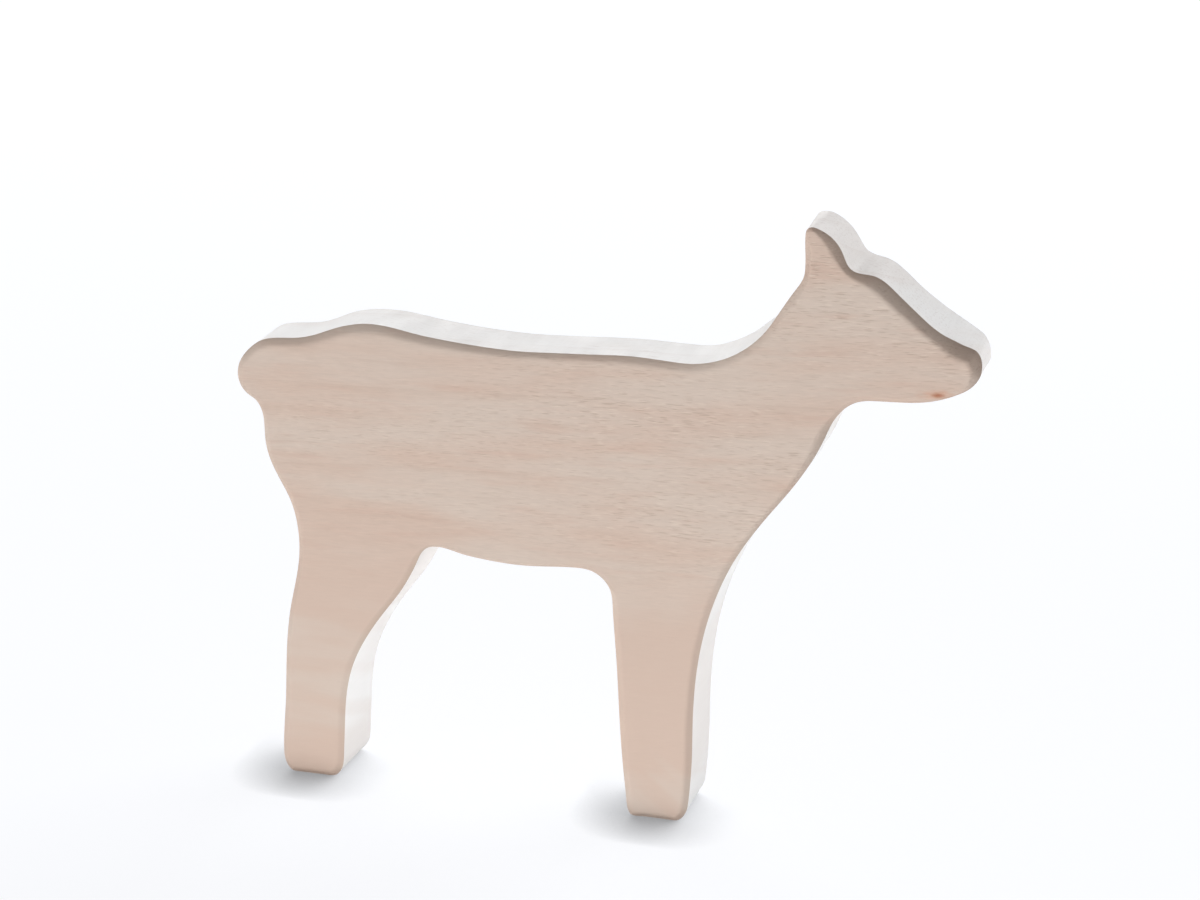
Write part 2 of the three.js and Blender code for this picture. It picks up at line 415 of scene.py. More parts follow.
def near_outline(outline, inward, sizes):
    """The outline at the near face, where the saw leaned in along the brow and the back."""
    ahead = outline[:, 0] / MM
    facing_ahead, facing_up, on_top = top_facings(outline, inward)
    # Marks in millimetres ahead of the middle, and the share of the lean at each
    brow_marks = (46, 52, 60, 67, 71, 76, 78, 80, 82, 83, 84)
    brow_shares = (0.5, 0.45, 1.0, 1.12, 0.8, 0.85, 0.8, 1.3, 1.0, 0.5, 0.3)
    saddle_marks = (-80, -74, -60, -44, -30, -18, -10, 2, 10, 30, 44)
    saddle_shares = (0.0, 1.2, 1.1, 1.2, 0.75, 0.7, 0.15, 0.7, 0.5, 0.4, 0.0)
    brow = sizes.brow_lean * np.interp(ahead, brow_marks, brow_shares) * facing_ahead
    saddle = sizes.saddle_lean * np.interp(ahead, saddle_marks, saddle_shares) * facing_up
    inset = brow * head_share(outline, sizes) + saddle * on_top
    return inside_box(outline + inward * evened(inset, 3)[:, None])


def far_outline(outline, inward, sizes):
    """The outline at the far face, where the saw leaned out along the nose and back on rearward slopes."""
    ahead, above = outline.T
    facing_ahead, facing_up, on_top = top_facings(outline, inward)
    # Marks in millimetres ahead of the middle, and the share of the lean at each
    head_marks = (44, 50, 54, 57, 60, 64, 69, 72, 77, 80, 82, 84)
    head_shares = (0.0, 0.55, 0.8, 1.05, 0.85, 0.5, 0.5, 1.2, 1.6, 0.95, -0.1, -0.5)
    back_marks = (-80, -74, -66, -60, -52, -46, -38, -20, -10, 5, 12, 20, 28, 36)
    back_shares = (0.0, 1.6, 0.6, 0.2, 2.0, 1.8, 1.2, 0.9, 0.4, 1.05, 1.0, 0.45, 0.0, 0.4)
    ear_loss = 0.05
    outset = sizes.bridge_lean * np.interp(ahead / MM, head_marks, head_shares) * facing_ahead
    inset = sizes.back_lean * np.interp(ahead / MM, back_marks, back_shares) * facing_up
    rearward = eased(facing(inward, -0.8, 0.6), 0.6, 0.95) * (1 - passed(ahead, 47.6, 48.6))
    ear = passed(above, 131.0, 135.0)
    neck = passed(above, 114.0, 118.0) * (1 - ear)
    retreat = sizes.slope_lean * (1 - ear_loss * ear) * rearward * (1 - neck)
    leaned = outline + inward * evened((inset - outset) * on_top, 6)[:, None]
    leaned[:, 0] -= evened(retreat * on_top, 2)
    return inside_box(leaned)


# The board's mesh

def sanded_section(tilt, turn, steps):
    """Half the edge's section, from face to crease: insets and drops for a sanded edge of length 1."""
    fine = 400
    least_turn = 1e-3
    share = (np.arange(fine) + 0.5) / fine
    bent = np.clip(share / max(turn, least_turn), 0.0, 1.0)
    slope = tilt * bent * bent * (3 - 2 * bent)
    inset = np.concatenate([[0.0], np.cumsum(np.cos(slope)) / fine])
    drop = np.concatenate([[0.0], np.cumsum(np.sin(slope)) / fine])
    places = np.linspace(0, 1, steps + 1)
    marks = np.linspace(0, 1, fine + 1)
    return np.interp(places, marks, inset), np.interp(places, marks, drop)


def hand_width(outline, inward, head, nose, run, sizes, seed):
    """Width that the sanding hand left on each stretch of the edge, before hollows and edges underneath."""
    ahead, above = outline.T
    # Marks in millimetres ahead of the middle, and the gain in width at each
    brow_marks = (56, 60, 64, 68, 72)
    brow_gains = (0.0, 0.1, 0.18, 0.1, 0.0)
    unevenness = 0.08
    chin_loss = 0.5
    nose_gain = 0.6
    uneven = 1.0 + unevenness * slow_wave(run, seed, (3, 7, 11, 17))
    rump = eased(-inward[:, 1], 0.3, 0.9) * (1 - passed(ahead, -40.0, -12.0))
    width = sizes.body_rounding + (sizes.rump_rounding - sizes.body_rounding) * rump
    width = (width + (sizes.head_rounding - width) * head) * uneven
    brow = head * eased(facing(inward, 0.6, 0.8), 0.2, 0.6)
    width *= 1.0 + brow * np.interp(ahead / MM, brow_marks, brow_gains)
    chin = passed(ahead, 79.0, 82.0) * (1 - passed(above, 105.0, 109.0))
    width *= (1.0 - chin_loss * chin) * (1.0 + nose_gain * nose)
    return width


def gentle_share(outline, inward):
    """1 where the edge slopes gently, on the nape and the front of the hind leg, and 0 elsewhere."""
    ahead, above = outline.T
    nape = passed(ahead, 8.0, 34.0) * eased(facing(inward, -0.6, 0.8), 0.3, 0.7)
    stifle = passed(-ahead, 30.0, 40.0) * eased(-inward[:, 0], 0.3, 0.7)
    return np.maximum(nape, stifle * (1 - passed(above, 56.0, 64.0)))


def sanded_rings(outline, inward, radii, run, sizes, seed):
    """Rings of one face's sanded edge from crease to flat, as (points, drops below the face, shares)."""
    steps = 10
    wood_share = 0.6
    nose_radius = 6.0 * MM
    head = head_share(outline, sizes)
    nose = 1 - passed(np.hypot(outline[:, 0] - NOSE_CORNER[0], outline[:, 1] - NOSE_CORNER[1]), 2.0, 8.0)
    width = hand_width(outline, inward, head, nose, run, sizes, seed)
    inward = inward + (evened(inward, 12) - inward) * nose[:, None]
    under = eased(inward[:, 1], 0.2, 0.8) * passed(outline[:, 1], 3.0, 8.0)
    width *= 1.0 - (1.0 - sizes.under_share) * under
    width *= 1.0 - (1.0 - sizes.hollow_share) * hollows(outline, sizes.outline_step)
    limit = wood_share * np.maximum(radii, nose_radius * nose)
    width = np.minimum(evened(np.minimum(width, limit), 4), limit)
    gentle = gentle_share(outline, inward)
    sections = [
        (sanded_section(sizes.body_tilt, sizes.body_turn, steps), (1 - gentle) * (1 - head)),
        (sanded_section(sizes.gentle_tilt, sizes.body_turn, steps), gentle * (1 - head)),
        (sanded_section(sizes.head_tilt, sizes.head_turn, steps), head),
    ]
    rings = []
    for step in range(steps, -1, -1):
        inset = sum(insets[step] / insets[-1] * share for (insets, drops), share in sections)
        drop = sum(drops[step] / insets[-1] * share for (insets, drops), share in sections)
        points = outline + inward * (width * (1 - inset))[:, None]
        rings.append((points, width * drop, step / steps))
    return rings


def face_fill(ring, radii, inward, step):
    """Flat fill inside a ring: a holding ring, inner points at an even step, and the triangles between."""
    hold = 0.5 * MM
    hold_share = 0.15
    clear_share = 0.6
    merge_distance = 1e-9
    held = ring + inward * np.minimum(hold, hold_share * radii)[:, None]
    low = held.min(axis=0)
    high = held.max(axis=0)
    columns = np.arange(low[0] + 0.5 * step, high[0], step)
    row_step = step * math.sqrt(0.75)
    rows = np.arange(low[1] + 0.5 * step, high[1], row_step)
    grid = []
    for index, row in enumerate(rows):
        shift = 0.5 * step * (index % 2)
        grid.extend((column + shift, row) for column in columns)
    grid = np.array(grid)
    away = np.sqrt(((grid[:, None, :] - held[None, ::2, :]) ** 2).sum(axis=2)).min(axis=1)
    grid = grid[away > clear_share * step]
    count = len(held)
    points = [Vector(point) for point in np.vstack([held, grid])]
    loop = [(index, (index + 1) % count) for index in range(count)]
    filled = delaunay_2d_cdt(points, loop, [], 1, merge_distance)
    return held, np.array([tuple(point) for point in filled[0]]), filled[2], filled[3]


class MeshSheet:
    """Collects points with their shading values, and the faces between them."""

    def __init__(self):
        self.points = []
        self.runs = []
        self.creases = []
        self.painted_shade_share = []
        self.faces = []
        self.is_edge = []

    def add_ring(self, ring, depths, runs, creases, painted_shade_share):
        """Adds a ring of points at these depths through the board, and returns their numbers."""
        start = len(self.points)
        self.points.extend((point[0], depth, point[1]) for point, depth in zip(ring, depths))
        self.runs.extend(runs)
        self.creases.extend(creases)
        self.painted_shade_share.extend(painted_shade_share)
        return np.arange(start, start + len(ring))

    def add_strip(self, lower, upper, is_edge):
        """Adds the quads between two rings, with their outside on the left from lower to upper."""
        ahead_lower = np.roll(lower, -1)
        ahead_upper = np.roll(upper, -1)
        for corners in zip(lower, ahead_lower, ahead_upper, upper):
            self.faces.append([int(corner) for corner in corners])
            self.is_edge.append(is_edge)


def brow_and_under_shade(outline, inward, sizes):
    """How much painted shade darkens the edge: most on the brow and nose, a little on edges that face down.
    """
    brow_shade = 0.7
    under_shade = 0.3
    brow = head_share(outline, sizes) * eased(facing(inward, 0.8, 0.6), 0.2, 0.6)
    brow *= brow_shade + (1 - brow_shade) * passed(outline[:, 0], 74.0, 80.0)
    return np.maximum(brow, under_shade * eased(inward[:, 1], 0.2, 0.7))


def board_mesh(node, sizes):
    """The figure's mesh: two sanded faces and the sawn edge between their creases."""
    outline = fair_curve(crease_corners(node), sizes.outline_step)
    middle_inward = inward_directions(outline)
    gaps = np.linalg.norm(np.roll(outline, -1, axis=0) - outline, axis=1)
    run = np.concatenate([[0.0], np.cumsum(gaps)[:-1]])
    half = CAD_HIGH.y
    # Painted shade line at the crease: full on edges that face up, where the sanded slope turns from the
    # light, a small share elsewhere
    dimmed = sizes.shade_line_below + (1 - sizes.shade_line_below) * eased(-middle_inward[:, 1], 0.0, 0.7)
    # Painted shade on the brow and nose, and a little under edges that face down
    painted_shade_share = brow_and_under_shade(outline, middle_inward, sizes)
    sheet = MeshSheet()
    creases = {}
    edges = {}
    for side, side_outline, seed in ((-1, near_outline, 4), (1, far_outline, 6)):
        leaned = side_outline(outline, middle_inward, sizes)
        inward = inward_directions(leaned)
        radii = inscribed_radii(leaned, inward)
        rings = sanded_rings(leaned, inward, radii, run, sizes, seed)
        previous = None
        for points, drop, share in rings:
            numbers = sheet.add_ring(points, side * (half - drop), run, share * dimmed, share * painted_shade_share)
            if previous is None:
                creases[side] = numbers
                edges[side] = np.column_stack([points[:, 0], side * (half - drop), points[:, 1]])
            else:
                pair = (previous, numbers) if side < 0 else (numbers, previous)
                sheet.add_strip(*pair, is_edge=False)
            previous = numbers
        add_face(sheet, rings[-1][0], previous, inward, radii, run, side, half, sizes)
    add_sawn_wall(sheet, middle_inward, run, creases, edges, sizes)
    return finished_mesh(sheet, creases)


def add_face(sheet, ring, ring_numbers, inward, radii, run, side, half, sizes):
    """Adds the flat part of one face inside its last sanded ring."""
    held, points, triangles, origins = face_fill(ring, radii, inward, sizes.face_step)
    unshaded = np.zeros(len(held))
    held_numbers = sheet.add_ring(held, np.full(len(held), side * half), run, unshaded, unshaded)
    pair = (ring_numbers, held_numbers) if side < 0 else (held_numbers, ring_numbers)
    sheet.add_strip(*pair, is_edge=False)
    numbers = []
    for point, origin in zip(points, origins):
        if origin and origin[0] < len(held):
            numbers.append(int(held_numbers[origin[0]]))
        else:
            numbers.append(int(sheet.add_ring([point], [side * half], [0.0], [0.0], [0.0])[0]))
    for triangle in triangles:
        corners = [numbers[corner] for corner in triangle]
        sheet.faces.append(corners if side < 0 else corners[::-1])
        sheet.is_edge.append(False)


def add_sawn_wall(sheet, inward, run, creases, edges, sizes):
    """Adds the sawn wall between the two creases, with the saw's slight wander in it."""
    steps = 8
    mean_stray = 0.45
    lean_stray = 0.5
    ripple_stray = 0.22
    lean_seed = 31
    ripple_seed = 47
    near = edges[-1]
    far = edges[1]
    previous = creases[-1]
    # Share of the wall's depth taken by the painted shade line beside each crease, where the wall's outer
    # rings stand
    painted_shade = sizes.shade_line_width / (far[:, 1] - near[:, 1])
    unshaded = np.zeros(len(near))
    shares = np.linspace(0, 1, steps + 1)[1:-1]
    places = [painted_shade] + [painted_shade + share * (1 - 2 * painted_shade) for share in shares] + [1 - painted_shade]
    for place in places:
        belly = np.sin(math.pi * place)
        lean = slow_wave(run, lean_seed, (5, 9, 16, 23)) * (place - 0.5)
        ripple = slow_wave(run, ripple_seed, (29, 41, 67, 90))
        stray = np.clip(mean_stray + lean_stray * lean + ripple_stray * ripple, 0.0, 1.0) * belly
        points = near + place[:, None] * (far - near)
        points[:, [0, 2]] += inward * (sizes.saw_wander * stray)[:, None]
        numbers = sheet.add_ring(points[:, [0, 2]], points[:, 1], run, unshaded, unshaded)
        sheet.add_strip(numbers, previous, is_edge=True)
        previous = numbers
    sheet.add_strip(creases[1], previous, is_edge=True)


def finished_mesh(sheet, creases):
    """A Blender mesh with smooth shading, sharp creases and the values that the finish reads."""
    mesh = bpy.data.meshes.new("sawn_deer")
    mesh.from_pydata(sheet.points, [], sheet.faces)
    mesh.update()
    mesh.polygons.foreach_set("use_smooth", np.ones(len(mesh.polygons), dtype=bool))
    mesh.polygons.foreach_set("material_index", np.array(sheet.is_edge, dtype=np.int32))
    for name, values in (("saw_run", sheet.runs), ("crease", sheet.creases), ("painted_shade_share", sheet.painted_shade_share)):
        attribute = mesh.attributes.new(name, "FLOAT", "POINT")
        attribute.data.foreach_set("value", np.array(values, dtype=np.float32))
    on_crease = np.zeros(len(mesh.vertices), dtype=bool)
    for numbers in creases.values():
        on_crease[numbers] = True
    ends = np.empty(len(mesh.edges) * 2, dtype=np.int32)
    mesh.edges.foreach_get("vertices", ends)
    sharp = on_crease[ends.reshape(-1, 2)].all(axis=1)
    attribute = mesh.attributes.new("sharp_edge", "BOOLEAN", "EDGE")
    attribute.data.foreach_set("value", sharp)
    if mesh.validate(verbose=False):
        raise RuntimeError("the board's mesh had faults that Blender had to remove")
    return mesh


# Node helpers

class NodeSheet:
    """Adds linked nodes to one node tree, in a row from left to right."""

    def __init__(self, tree):
        self.tree = tree

    def add(self, kind, **settings):
        """Adds a node to the right of the others."""
        node = self.tree.nodes.new(kind)
        node.location = (200.0 * len(self.tree.nodes), 0.0)
        for name, value in settings.items():
            setattr(node, name, value)
        return node

    def feed(self, socket, value):
        """Links an output to a socket, or sets the socket to a plain value."""
        if isinstance(value, bpy.types.NodeSocket):
            self.tree.links.new(value, socket)
        else:
            socket.default_value = value

    def math(self, operation, first, second=0.0, clamp=False):
        """One sum on two values."""
        node = self.add("ShaderNodeMath", operation=operation, use_clamp=clamp)
        self.feed(node.inputs[0], first)
        self.feed(node.inputs[1], second)
        return node.outputs[0]

    def times(self, first, *others):
        """The product of these values."""
        for other in others:
            first = self.math("MULTIPLY", first, other)
        return first

    def plus(self, first, *others):
        """The sum of these values."""
        for other in others:
            first = self.math("ADD", first, other)
        return first

    def vector(self, operation, first, second):
        """One sum on two vectors."""
        node = self.add("ShaderNodeVectorMath", operation=operation)
        self.feed(node.inputs[0], first)
        self.feed(node.inputs[1], second)
        return node.outputs["Vector"]

    def combined(self, **parts):
        """A vector with these parts, and 0 for the others."""
        node = self.add("ShaderNodeCombineXYZ")
        for name, value in parts.items():
            self.feed(node.inputs[name], value)
        return node.outputs[0]

    def separated(self, place):
        """The three parts of a place."""
        node = self.add("ShaderNodeSeparateXYZ")
        self.feed(node.inputs[0], place)
        return node.outputs

    def millimetres(self, place):
        """The three parts of a place, in millimetres."""
        return [self.times(part, PER_MM) for part in self.separated(place)]

    def waves(self, place, detail, roughness=0.5):
        """Smooth noise with one wave per unit of length."""
        node = self.add("ShaderNodeTexNoise")
        self.feed(node.inputs["Vector"], place)
        node.inputs["Scale"].default_value = 1.0
        node.inputs["Detail"].default_value = detail
        node.inputs["Roughness"].default_value = roughness
        return node.outputs["Fac"]

    def noise(self, place, per_mm, shift=(0.0, 0.0, 0.0), detail=1.0, roughness=0.5):
        """Smooth noise with so many waves per millimetre along each axis."""
        scaled = self.vector("MULTIPLY", place, [rate * PER_MM for rate in per_mm])
        return self.waves(self.vector("ADD", scaled, shift), detail, roughness)

    def ramp(self, value, low, high, start=0.0, end=1.0):
        """A value eased from start to end while it goes from low to high."""
        node = self.add("ShaderNodeMapRange", interpolation_type="SMOOTHSTEP", clamp=True)
        self.feed(node.inputs["Value"], value)
        node.inputs["From Min"].default_value = low
        node.inputs["From Max"].default_value = high
        node.inputs["To Min"].default_value = start
        node.inputs["To Max"].default_value = end
        return node.outputs["Result"]

    def blend(self, share, first, second, mode="MIX"):
        """Two colours blended by a share."""
        node = self.add("ShaderNodeMix", data_type="RGBA", blend_type=mode)
        self.feed(node.inputs[0], share)
        for socket, colour in ((node.inputs[6], first), (node.inputs[7], second)):
            self.feed(socket, colour if isinstance(colour, bpy.types.NodeSocket) else (*colour, 1.0))
        return node.outputs[2]

    def stained(self, colour, mask, stain, most):
        """A colour blended towards a stain, by this share at most, where the mask is 1."""
        return self.blend(self.times(mask, most), colour, stain)

    def shaded(self, colour, value):
        """A colour multiplied by a grey of this value."""
        grey = self.add("ShaderNodeCombineColor")
        for socket in grey.inputs[:3]:
            self.feed(socket, value)
        return self.blend(1.0, colour, grey.outputs[0], "MULTIPLY")

    def group(self, tree, **values):
        """Places a node group and feeds its named inputs."""
        node = self.add("ShaderNodeGroup", node_tree=tree)
        for name, value in values.items():
            self.feed(node.inputs[name], value)
        return node.outputs


def new_group(name, inputs, outputs):
    """An empty shader node group with these sockets, given as (name, socket type) pairs."""
    tree = bpy.data.node_groups.new(name, "ShaderNodeTree")
    for socket_name, kind in inputs:
        tree.interface.new_socket(socket_name, in_out="INPUT", socket_type=kind)
    for socket_name, kind in outputs:
        tree.interface.new_socket(socket_name, in_out="OUTPUT", socket_type=kind)
    sheet = NodeSheet(tree)
    entry = sheet.add("NodeGroupInput")
    exit_node = sheet.add("NodeGroupOutput")
    return tree, sheet, entry.outputs, exit_node.inputs


def cleared_sheet(owner):
    """The emptied node tree of a material or a world."""
    owner.use_nodes = True
    owner.node_tree.nodes.clear()
    return NodeSheet(owner.node_tree)


# Node groups of the wood, with heights above the table and distances ahead of the middle in millimetres

def growth_rings_group():
    """Lines between growth rings: level along the trunk, slanting down towards the nose in the legs."""
    outputs = [("Line", VALUE), ("Zone", VALUE)]
    tree, sheet, entry, leave = new_group("growth_rings", [("Place", VECTOR)], outputs)
    rump_to_middle = 75.0
    bow_length = 230.0
    fall_to_far = 0.4
    drift_height = 5.0
    ring_gap = 6.1
    sharpness = 6.0
    zones_across = 0.13
    zones_along = 0.022
    place = entry["Place"]
    ahead, through, above = sheet.millimetres(place)
    in_leg = sheet.ramp(above, 20.0, 60.0, 1.0, 0.0)
    from_rump = sheet.math("MAXIMUM", sheet.plus(ahead, rump_to_middle), 0.0)
    bow = sheet.times(from_rump, from_rump, 1.0 / bow_length)
    level = sheet.plus(above, sheet.times(bow, in_leg))
    level = sheet.math("SUBTRACT", level, sheet.times(ahead, GRAIN_RISE))
    level = sheet.plus(level, sheet.times(through, fall_to_far))
    drift = sheet.noise(place, (0.010, 0.03, 0.04), detail=2.0)
    level = sheet.plus(level, sheet.times(drift, drift_height))
    line = sheet.math("POWER", sheet.math("FRACT", sheet.times(level, 1.0 / ring_gap)), sharpness)
    patchy = sheet.ramp(sheet.noise(place, (0.03, 0.1, 0.12), (3.0, 8.0, 1.0)), 0.42, 0.66)
    on_trunk = sheet.ramp(above, 45.0, 66.0)
    sheet.feed(leave["Line"], sheet.times(line, patchy, on_trunk))
    zones = sheet.combined(X=sheet.times(level, zones_across), Y=sheet.times(ahead, zones_along))
    broad = sheet.waves(zones, detail=2.0)
    shin = sheet.times(
        sheet.ramp(above, 8.0, 20.0),
        sheet.ramp(above, 36.0, 54.0, 1.0, 0.0),
        sheet.ramp(ahead, -20.0, 0.0, 0.0, 0.4),
    )
    hoof = sheet.times(sheet.ramp(above, 4.0, 16.0, 0.3, 0.0), sheet.ramp(ahead, -30.0, -10.0, 1.0, 0.0))
    thigh = sheet.times(
        sheet.ramp(above, 36.0, 48.0),
        sheet.ramp(above, 60.0, 76.0, 1.0, 0.0),
        sheet.ramp(ahead, -45.0, -25.0, 0.3, 0.0),
    )
    ear = sheet.ramp(above, 124.0, 134.0, 0.0, 0.3)
    rosy = sheet.plus(shin, sheet.plus(hoof, thigh), sheet.plus(ear, broad))
    sheet.feed(leave["Zone"], sheet.ramp(rosy, 0.36, 0.72))
    return tree


def fibre_group():
    """Fine dashes and threads along the grain, and longer soft streaks."""
    outputs = [("Dark", VALUE), ("Light", VALUE), ("Thread", VALUE), ("Streak", VALUE)]
    tree, sheet, entry, leave = new_group("fibres", [("Place", VECTOR)], outputs)
    sway_height = 3.0 * MM
    place = entry["Place"]
    ahead, _, above = sheet.millimetres(place)
    sway = sheet.times(sheet.noise(place, (0.015, 0.02, 0.03), (7.0, 2.0, 5.0)), sway_height)
    lift = sheet.combined(Z=sheet.plus(sway, sheet.times(ahead, -GRAIN_RISE * MM)))
    grain = sheet.vector("ADD", place, lift)
    crowd = sheet.times(
        sheet.ramp(sheet.noise(grain, (0.02, 0.06, 0.06), (1.0, 4.0, 9.0), 2.0), 0.34, 0.60, 0.35, 1.0),
        sheet.ramp(above, 45.0, 85.0, 0.08, 1.0),
        sheet.ramp(ahead, -25.0, 20.0, 0.9, 1.6),
    )
    on_trunk = sheet.ramp(above, 40.0, 70.0, 0.2, 1.0)
    dark = sheet.ramp(sheet.noise(grain, (0.34, 2.2, 3.3)), 0.54, 0.74)
    light = sheet.ramp(sheet.noise(grain, (0.34, 2.2, 3.1), (31.0, 17.0, 5.0)), 0.55, 0.75)
    thread = sheet.noise(grain, (0.25, 1.6, 2.4), (5.0, 3.0, 11.0), 2.0, 0.6)
    thread = sheet.times(sheet.math("SUBTRACT", thread, NOISE_MIDDLE), on_trunk)
    streak = sheet.ramp(sheet.noise(grain, (0.05, 0.2, 0.45), (13.0, 1.0, 6.0), 2.0), 0.52, 0.76)
    sheet.feed(leave["Dark"], sheet.times(dark, crowd))
    sheet.feed(leave["Light"], sheet.times(light, crowd))
    sheet.feed(leave["Thread"], sheet.plus(thread, NOISE_MIDDLE))
    sheet.feed(leave["Streak"], sheet.times(streak, on_trunk))
    return tree


def pin_knot_group():
    """A pin knot: a small dark heart, and a stained halo drawn out along the grain."""
    outputs = [("Heart", VALUE), ("Halo", VALUE)]
    tree, sheet, entry, leave = new_group("pin_knot", [("Place", VECTOR)], outputs)
    heart_reach = (2.1, 5.0, 0.85)
    halo_reach = (4.8, 6.0, 1.8)
    raggedness = 0.9
    place = entry["Place"]
    away = sheet.vector("ADD", place, [-value for value in KNOT_PLACE])
    ragged = sheet.noise(place, (0.45, 0.6, 1.1), (2.0, 6.0, 4.0), 2.0)
    spread = sheet.times(sheet.math("SUBTRACT", ragged, NOISE_MIDDLE), raggedness)
    for name, reach, full in (("Heart", heart_reach, 0.0), ("Halo", halo_reach, 0.1)):
        distance = sheet.add("ShaderNodeVectorMath", operation="LENGTH")
        sheet.feed(distance.inputs[0], sheet.vector("MULTIPLY", away, [PER_MM / size for size in reach]))
        ragged_distance = sheet.plus(distance.outputs["Value"], spread)
        sheet.feed(leave[name], sheet.ramp(ragged_distance, full, 1.0, 1.0, 0.0))
    return tree


def saw_marks_group():
    """Fine marks across the sawn edge, left by the blade and softened by sanding."""
    inputs = [("Run", VALUE), ("Place", VECTOR)]
    tree, sheet, entry, leave = new_group("saw_marks", inputs, [("Mark", VALUE)])
    fine_share = 0.6
    broad_share = 0.4
    unrolled = sheet.combined(X=entry["Run"], Y=sheet.separated(entry["Place"])["Y"])
    fine = sheet.noise(unrolled, (1.9, 0.06, 1.0), detail=2.0, roughness=0.6)
    broad = sheet.noise(unrolled, (0.22, 0.05, 1.0), (9.0, 4.0, 0.0), 2.0)
    sheet.feed(leave["Mark"], sheet.plus(sheet.times(fine, fine_share), sheet.times(broad, broad_share)))
    return tree


def painted_edge_shade_group():
    """Painted shade along an edge: a value stored on the mesh, shaped by a power and held to a share."""
    inputs = [("Stored", VALUE), ("Power", VALUE), ("Most", VALUE)]
    tree, sheet, entry, leave = new_group("painted_edge_shade", inputs, [("Shade", VALUE)])
    shaped = sheet.math("POWER", entry["Stored"], entry["Power"])
    sheet.feed(leave["Shade"], sheet.times(shaped, entry["Most"]))
    return tree


def wood_groups():
    """Every node group of the wood, by name."""
    return {
        "rings": growth_rings_group(),
        "fibres": fibre_group(),
        "knot": pin_knot_group(),
        "saw": saw_marks_group(),
        "edge_shade": painted_edge_shade_group(),
    }


# Materials

def new_material(name):
    """An empty node material with its Principled shader linked to the output."""
    material = bpy.data.materials.new(name)
    sheet = cleared_sheet(material)
    shader = sheet.add("ShaderNodeBsdfPrincipled")
    output = sheet.add("ShaderNodeOutputMaterial")
    sheet.feed(output.inputs["Surface"], shader.outputs[0])
    return material, sheet, shader


def stored_value(sheet, name):
    """A value stored on the mesh."""
    return sheet.add("ShaderNodeAttribute", attribute_name=name, attribute_type="GEOMETRY").outputs["Fac"]


def sanded_face_material(groups, finish):
    """The sanded faces and their rounded edges: rings, streaks, fibres and a pin knot, with painted shade
    along the creases, on the brow and nose and under edges that face down.
    """
    material, sheet, shader = new_material("sanded_face")
    dash_roughness = 0.12
    thread_height = 0.6
    relief = 0.03 * MM
    place = sheet.add("ShaderNodeTexCoord").outputs["Object"]
    rings = sheet.group(groups["rings"], Place=place)
    fibres = sheet.group(groups["fibres"], Place=place)
    knot = sheet.group(groups["knot"], Place=place)
    colour = sheet.blend(rings["Zone"], finish.pale_wood, finish.rosy_wood)
    colour = sheet.stained(colour, rings["Line"], finish.late_wood, most=0.22)
    colour = sheet.stained(colour, fibres["Streak"], finish.streak, most=0.3)
    colour = sheet.shaded(colour, sheet.ramp(fibres["Thread"], 0.3, 0.7, 0.972, 1.025))
    colour = sheet.stained(colour, fibres["Dark"], finish.dark_fleck, most=0.2)
    colour = sheet.stained(colour, fibres["Light"], finish.light_fleck, most=0.29)
    colour = sheet.stained(colour, knot["Halo"], finish.knot_halo, most=0.65)
    colour = sheet.blend(knot["Heart"], colour, finish.knot_heart)
    # Painted shade: a dark line at the crease, strongest on edges that face up
    dimmed = sheet.group(groups["edge_shade"], Stored=stored_value(sheet, "crease"), Power=7.0, Most=0.5)
    colour = sheet.blend(dimmed["Shade"], colour, finish.painted_shade)
    # Painted shade on the brow and nose, and a little under edges that face down
    painted_shade_share = sheet.group(groups["edge_shade"], Stored=stored_value(sheet, "painted_shade_share"), Power=0.7, Most=0.8)
    colour = sheet.blend(painted_shade_share["Shade"], colour, finish.painted_shade)
    sheet.feed(shader.inputs["Base Color"], colour)
    roughness = sheet.plus(sheet.times(fibres["Dark"], dash_roughness), finish.face_roughness)
    sheet.feed(shader.inputs["Roughness"], roughness)
    height = sheet.math("SUBTRACT", sheet.times(fibres["Thread"], thread_height), fibres["Dark"])
    add_bump(sheet, shader, height, relief)
    shader.inputs["Specular IOR Level"].default_value = 0.4
    return material


def sawn_edge_material(groups, finish):
    """The sawn edge: sanded wood painted near white as a painted sheen of the bright light behind it, with
    saw marks across it and a painted shade line beside each crease.
    """
    material, sheet, shader = new_material("sawn_edge_and_sheen")
    dash_depth = 0.4
    relief = 0.02 * MM
    place = sheet.add("ShaderNodeTexCoord").outputs["Object"]
    rings = sheet.group(groups["rings"], Place=place)
    fibres = sheet.group(groups["fibres"], Place=place)
    saw = sheet.group(groups["saw"], Place=place, Run=stored_value(sheet, "saw_run"))
    # Painted sheen: the near-white base stands in for the bright light from behind and its sheen on the edge
    colour = sheet.stained(finish.sawn_edge_and_sheen, rings["Zone"], finish.rosy_wood, most=0.2)
    colour = sheet.stained(colour, rings["Line"], finish.late_wood, most=0.1)
    colour = sheet.stained(colour, fibres["Dark"], finish.dark_fleck, most=0.12)
    colour = sheet.shaded(colour, sheet.ramp(saw["Mark"], 0.3, 0.7, 0.985, 1.01))
    # Painted shade: the same dark line on the wall beside each crease
    dimmed = sheet.group(groups["edge_shade"], Stored=stored_value(sheet, "crease"), Power=2.0, Most=0.6)
    colour = sheet.blend(dimmed["Shade"], colour, finish.painted_shade)
    sheet.feed(shader.inputs["Base Color"], colour)
    roughness = sheet.plus(sheet.ramp(saw["Mark"], 0.3, 0.7, 0.08, -0.05), finish.edge_roughness)
    sheet.feed(shader.inputs["Roughness"], roughness)
    height = sheet.math("SUBTRACT", saw["Mark"], sheet.times(fibres["Dark"], dash_depth))
    add_bump(sheet, shader, height, relief)
    return material


